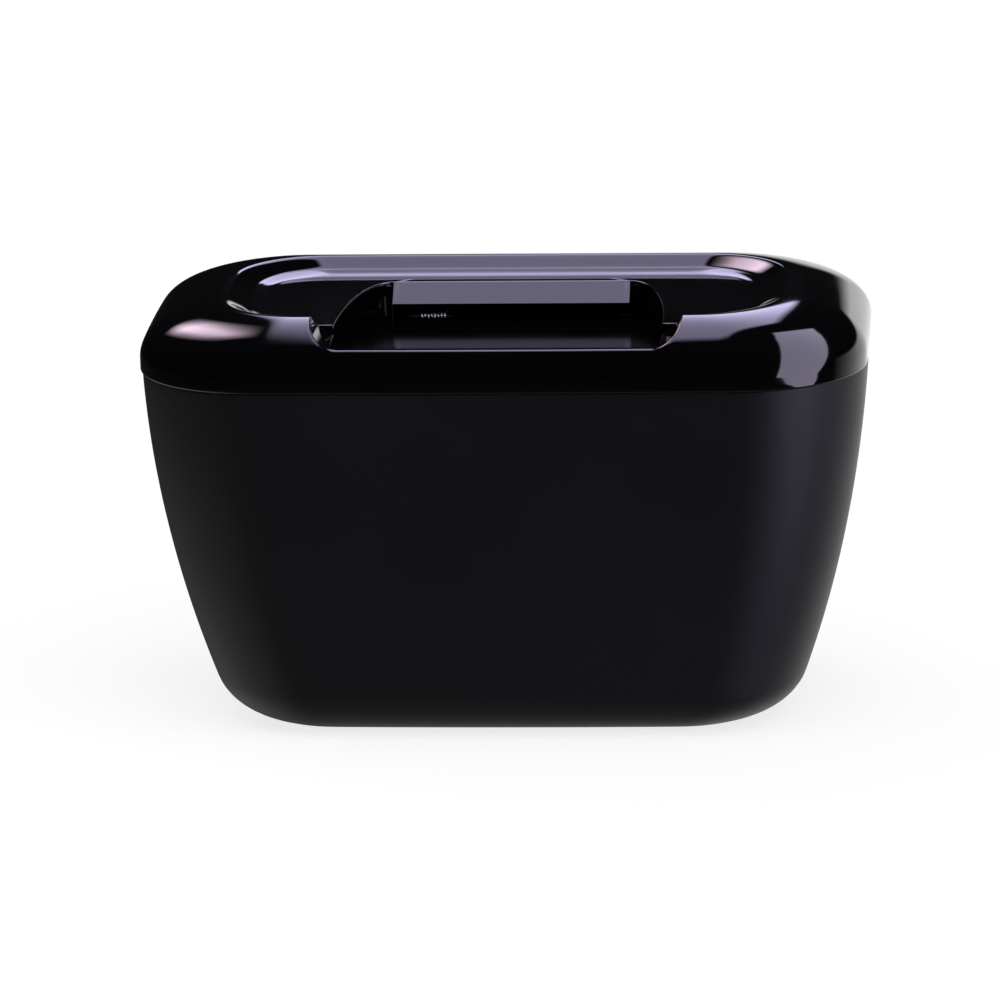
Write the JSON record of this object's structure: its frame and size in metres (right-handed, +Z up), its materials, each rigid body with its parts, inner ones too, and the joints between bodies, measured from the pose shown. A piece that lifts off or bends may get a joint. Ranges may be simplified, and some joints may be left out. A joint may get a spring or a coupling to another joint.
{
  "type": "car trash bin",
  "caption": "Hanging car trash bin: a tapered matte black tub with rounded corners, a gloss black dished cover with a sprung push flap, and a clip on its back.",
  "frame": {"origin": "on the surface the bin stands on, under the middle of the tub", "axes": "+Z up through the mouth, +X along the long side to the right as seen from the front, +Y towards the clip at the back"},
  "size_m": [0.17, 0.1026, 0.1],
  "materials": {
    "matte_black_plastic": "fine matte moulded texture",
    "gloss_black_plastic": "polished moulding, high gloss",
    "bright_steel": "bright drawn wire"
  },
  "bodies": {
    "bin_body": {"bin": "matte_black_plastic"},
    "cover_body": {"cover": "gloss_black_plastic", "hinge_pin": "bright_steel", "flap_spring": "bright_steel"},
    "flap_body": {"push_flap": "gloss_black_plastic"},
    "clip_body": {"hanging_clip": "matte_black_plastic"}
  },
  "joints": [
    {"name": "cover_lift", "type": "slide", "parent": "bin_body", "child": "cover_body", "axis": [0, 0, 1], "range_m": [0, 0.06]},
    {"name": "flap_hinge", "type": "hinge", "parent": "cover_body", "child": "flap_body", "pos_m": [0, 0.0182, 0.0882], "axis": [1, 0, 0], "range_deg": [0, 60], "stiffness_Nm_per_rad": 0.03, "springref_deg": -34.38, "deforming": ["flap_spring"]},
    {"name": "clip_slide", "type": "slide", "parent": "bin_body", "child": "clip_body", "axis": [0, 0, 1], "range_m": [0, 0.04]}
  ]
}
